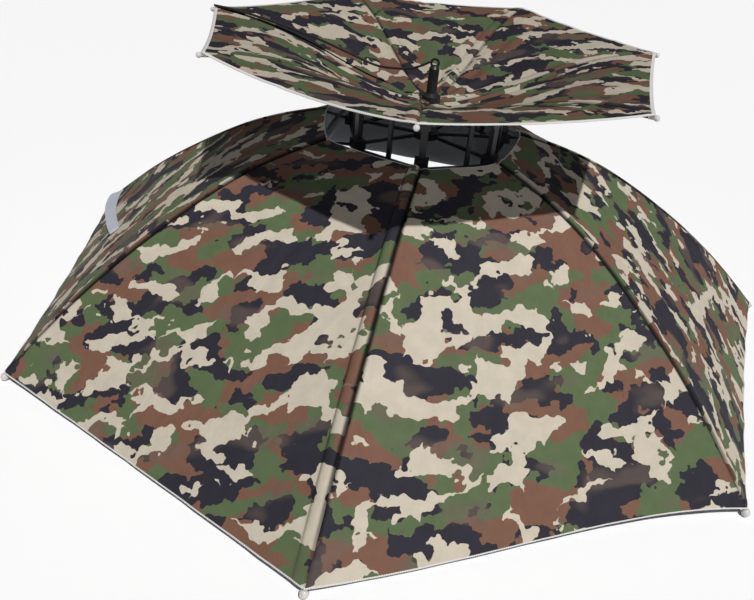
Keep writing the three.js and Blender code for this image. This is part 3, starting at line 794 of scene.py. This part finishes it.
def canopy_shares(length, steps, both, edging):
    """Shares down a canopy: even steps, with a narrow row for the edging at one hem or at both."""
    edge = edging / length
    beside = BY_EDGING / length
    near = EVEN_FROM / length
    inner = list(np.linspace(near, 1 - near, steps))
    start = [0.0, edge, beside] if both else [0.0, beside]
    return start + inner + [1 - beside, 1 - edge, 1.0]


def lower_hem(panel, share, k, inward):
    """The lower hem is drawn in and up between two ribs, and the vent's edge out."""
    lean = math.log(0.5) / math.log(panel["peak"])
    taut = panel["bow"] * bow(min(max(k, 0), 1) ** lean) * share ** 6
    move = inward * (LOWER_HEM_IN * taut - VENT_HEM_OUT * bow(k) * (1 - share) ** 6)
    return move + np.array([0, 0, LOWER_HEM_UP * taut])


def upper_hem(panel, share, k, inward):
    """The upper hem hangs a little in and down between two ribs."""
    fade = bow(k) * share ** 4
    return inward * (UPPER_HEM_IN * fade) - np.array([0, 0, panel["sag"] * fade])


def fold_set(seed, count, low, high):
    """Seeded folds of one panel: a place across, a length down, a width, a lean and a height."""
    draw = np.random.default_rng(seed)
    return [
        {
            "at": draw.uniform(0.08, 0.92),
            "from": draw.uniform(0.0, 0.8),
            "long": draw.uniform(0.12, 0.4),
            "wide": draw.uniform(4, 12),
            "lean": draw.uniform(-0.5, 0.5),
            "high": draw.uniform(low, high) * draw.choice([-1, 1]),
        }
        for _ in range(count)
    ]


LOWER_FOLDS = [fold_set(40 + i, count=16, low=0.25, high=0.9) for i in range(RIB_COUNT)]
UPPER_FOLDS = [fold_set(90 + i, count=14, low=0.6, high=1.9) for i in range(RIB_COUNT)]


def loose_folds(folds, share, k, side):
    """The height of a panel's seeded folds along one row, which fade out at its ribs."""
    lift = np.zeros(len(k))
    width = side[-1] - side[0]
    for fold in folds:
        centre = (fold["at"] - 0.5) + fold["lean"] * (share - fold["from"])
        off = (side - centre * width) / fold["wide"]
        run = (share - fold["from"]) / fold["long"]
        lift += fold["high"] * np.exp(-(off ** 2)) * math.exp(-(run ** 2))
    return lift * np.clip(np.minimum(k, 1 - k) / 0.06, 0, 1)


def lower_folds(i, share, k, side):
    """Slack in the cloth: soft folds, and small waves along the hem."""
    lift = loose_folds(LOWER_FOLDS[i], share, k, side)
    waves = np.sin(side / 11.0 + 2.1 * i) + 0.6 * np.sin(side / 6.1 + 1.3 * i)
    calm = np.clip(np.minimum(k, 1 - k) / 0.1, 0, 1)
    return lift + 0.45 * waves * calm * share ** 10


def upper_folds(i, share, k, side):
    """Folds that run out from the post, where the cloth is gathered."""
    lift = loose_folds(UPPER_FOLDS[i], share, k, side)
    gathers = np.cos(2 * math.pi * k * 3 + i) * 9.5 * share * math.exp(-((share / 0.42) ** 2))
    calm = np.clip(np.minimum(k, 1 - k) / 0.15, 0, 1)
    return lift + gathers * calm


def finish_sheet(thing, kind):
    """Hides the solids that the sheet stands for and hangs the sheet on the root."""
    nodes = [f"{kind}_panel_{i + 1}" for i in range(RIB_COUNT)]
    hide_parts(*nodes)
    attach(thing, "root")


def make_lower_canopy():
    shares = canopy_shares(LOWER_REACH - VENT_REACH, steps=58, both=True, edging=EDGING_LOWER)
    thing, panels = canopy(
        "lower_canopy", lower_rib_point, shares, LOWER_DIP, lower_hem, lower_folds, vent_hem=True,
        print_key="lower_print", print_shift=0.0, bold=1.0, shade=0.0)
    finish_sheet(thing, "lower")


def make_upper_canopy():
    shares = canopy_shares(UPPER_REACH - UPPER_HOLE, steps=44, both=False, edging=EDGING_UPPER)
    # Painted shade, 0.2 at the least, lies over the whole upper canopy as well as deeper in its creases
    thing, panels = canopy(
        "upper_canopy", upper_rib_point, shares, UPPER_DIP, upper_hem, upper_folds, vent_hem=False,
        print_key="upper_print", print_shift=UPPER_PRINT, bold=0.6, shade=0.2)
    finish_sheet(thing, "upper")


make_lower_canopy()
make_upper_canopy()

# Ribs and tips

RIB_RADIUS = 1.6
GAP = 0.3
SOLID_CLOTH = 1.2  # thickness of the frame's cloth
LOWER_GAP = 0.7  # between a lower rib and the cloth
LOWER_DROP = SOLID_CLOTH + LOWER_GAP + RIB_RADIUS  # from the cloth's upper face to a rib's middle
UPPER_DROP = SOLID_CLOTH + GAP + RIB_RADIUS
UPPER_RIB_START = 0.017
TIP_NECK = 6.0
TIP_STEPS = 8
LOWER_TIP = {"radius": 4.0, "length": 7.2}
UPPER_TIP = {"radius": 2.7, "length": 4.2}
CAGE_REACH = 93.0  # to the corners of the cage's rings
BLOCK_HALF = 6.0  # of the block at the foot of a post
SOCKET_HEIGHT = 5.5  # of a lower rib's inner end, from the foot of its post


def rib_line(point, i, drop, start, steps):
    """The middle line of a rib up to its cap's neck, the cap's place and the way it points."""
    line = []
    for share in np.linspace(start, 1, steps):
        line.append(point(i, share) - facing(point, i, share) * drop)
    along = unit(line[-1] - line[-2])
    corner = line[-1]
    while np.linalg.norm(line[-1] - corner) < TIP_NECK + GAP:
        line.pop()
    line.append(corner - along * (TIP_NECK + GAP))
    return line, corner, along


def make_rib(kind, i, line):
    name = f"{kind}_rib_{i + 1}"
    rib = mesh_object(name + "_rod", *tube(line, RIB_RADIUS, sides=14), [DARK_METAL])
    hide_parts(name)
    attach(rib, "root")


def make_tip(kind, i, corner, along, radius, length):
    """A moulded cap: a neck around the rib's end and a rounded head, flat where it stands."""
    neck = RIB_RADIUS + GAP
    rows = [(0, -TIP_NECK), (neck - 0.3, -TIP_NECK), (neck, -TIP_NECK + 0.5), (neck, GAP)]
    rows += [(neck + 0.6, GAP + 0.1), (radius * 0.86, 0.08 * length), (radius * 0.97, 0.2 * length)]
    for step in range(TIP_STEPS + 1):
        a = step / TIP_STEPS * math.pi / 2
        rows.append((max(radius * math.cos(a) ** 0.8, 0.0), length * (0.42 + 0.58 * math.sin(a))))
    rows[-1] = (0, length)
    points, faces = placed(lathe(rows, sides=28), corner, along)
    points = [np.array([p[0], p[1], max(p[2], foot_low.z / MM)]) for p in points]
    name = f"{kind}_tip_{i + 1}"
    tip = mesh_object(name + "_cap", points, faces, [TIP_PLASTIC])
    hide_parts(name)
    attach(tip, "root")


def make_ribs():
    for i in range(RIB_COUNT):
        line, corner, along = rib_line(lower_rib_point, i, LOWER_DROP, start=0, steps=60)
        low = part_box(f"cage_post_{i + 1}")[0]
        azimuth = even_azimuth(i) + math.radians(CROWN_TURN)
        reach = CAGE_REACH + BLOCK_HALF + GAP + RIB_RADIUS * 0.6
        start = np.array([
            CROWN_X + reach * math.cos(azimuth),
            CROWN_Y + reach * math.sin(azimuth),
            low.z / MM + SOCKET_HEIGHT,
        ])
        make_rib("lower", i, [start] + line)
        make_tip("lower", i, corner, along, **LOWER_TIP)
        line, corner, along = rib_line(upper_rib_point, i, UPPER_DROP, start=UPPER_RIB_START, steps=40)
        make_rib("upper", i, line)
        make_tip("upper", i, corner, along, **UPPER_TIP)


make_ribs()


def dress_cage():
    """The cage's solids keep their form, with eased edges and moulded black plastic."""
    for name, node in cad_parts.items():
        if name.startswith("cage_") or name in ("spoked_hub", "hub_post"):
            node.data.materials.clear()
            node.data.materials.append(BLACK_PLASTIC)
            ease = node.modifiers.new("eased_edges", "BEVEL")
            ease.width = 0.4 * MM
            ease.segments = 2
            ease.limit_method = "ANGLE"
            ease.angle_limit = math.radians(35)


def dress_cord():
    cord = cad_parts["rim_cord"]
    cord.data.materials.clear()
    cord.data.materials.append(CORD)


dress_cage()
dress_cord()

# Strap

STRAP_PANEL = 5
STRAP_STEPS = 48
STRAP_WIDTH = 14.0
STRAP_THICKNESS = 1.2
# Places on the strap's upper edge: share of the way from vent to hem and of the way over the panel,
# the height above the cloth, and the degrees that the lower edge stands off the cloth
STRAP_ROUTE = [
    {"share": 0.917, "over": 0.03, "lift": 1.5, "lean": 12},
    {"share": 0.915, "over": 0.08, "lift": 2.5, "lean": 33},
    {"share": 0.886, "over": 0.193, "lift": 4, "lean": 39},
    {"share": 0.846, "over": 0.308, "lift": 4, "lean": 42},
    {"share": 0.806, "over": 0.422, "lift": 2.8, "lean": 32},
    {"share": 0.77, "over": 0.524, "lift": 1.4, "lean": 6},
]


def strap_station(t):
    """The middle of the strap and the heading across it, t from 0 to 1 along the route."""
    steps = np.arange(len(STRAP_ROUTE)) / (len(STRAP_ROUTE) - 1)
    share, over, lift, lean = (
        float(smooth_table(list(zip(steps, [row[key] for row in STRAP_ROUTE])))(t))
        for key in ("share", "over", "lift", "lean")
    )

    def on_cloth(k, s):
        a, b = lower_rib_point(STRAP_PANEL, s), lower_rib_point(STRAP_PANEL + 1, s)
        return a + (b - a) * k - np.array([0, 0, sag(LOWER_DIP, s, k)])

    slope = unit(on_cloth(over, share + 0.02) - on_cloth(over, share - 0.02))
    across = unit(on_cloth(over + 0.02, share) - on_cloth(over - 0.02, share))
    face = unit(np.cross(slope, across))
    turn = math.radians(lean)
    wide = slope * math.cos(turn) + face * math.sin(turn)
    return on_cloth(over, share) + face * lift + wide * STRAP_WIDTH / 2, wide


def make_strap():
    """A woven ribbon with slightly cupped edges."""
    stations = [strap_station(t) for t in np.linspace(0, 1, STRAP_STEPS + 1)]
    across = np.linspace(-0.5, 0.5, 7)
    points, length, flat = [], 0.0, []
    for j, (middle, wide) in enumerate(stations):
        before, after = stations[max(j - 1, 0)][0], stations[min(j + 1, STRAP_STEPS)][0]
        along = unit(after - before)
        wide = unit(wide - along * np.dot(wide, along))
        face = np.cross(along, wide)
        length += np.linalg.norm(middle - before)
        flat.append(length)
        for side in (1, -1):
            for c in across:
                cup = 0.5 * (2 * c) ** 2 + 0.2 * math.sin(length / 7 + 3 * c)
                out = side * STRAP_THICKNESS / 2 - cup * 0.6
                points.append(middle + wide * STRAP_WIDTH * c + face * out)
    faces, uvs = [], []
    width = len(across)
    ring = list(range(width)) + [2 * width - 1 - k for k in range(width)]
    for j in range(STRAP_STEPS):
        for k in range(len(ring)):
            m = (k + 1) % len(ring)
            a, b = j * 2 * width, (j + 1) * 2 * width
            faces.append((a + ring[k], b + ring[k], b + ring[m], a + ring[m]))
            for station, corner in ((j, k), (j + 1, k), (j + 1, m), (j, m)):
                uvs.append((across[ring[corner] % width] * STRAP_WIDTH * MM, flat[station] * MM))
    last = STRAP_STEPS * 2 * width
    for ends in (ring, [last + v for v in reversed(ring)]):
        faces.append(tuple(ends))
        uvs.extend([(0, 0)] * len(ends))
    strap = mesh_object("closing_ribbon", points, faces, [STRAP])
    layer = strap.data.uv_layers.new(name="cut")
    layer.data.foreach_set("uv", np.array(uvs, dtype=np.float32).ravel())
    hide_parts("closing_strap")
    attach(strap, "root")


make_strap()
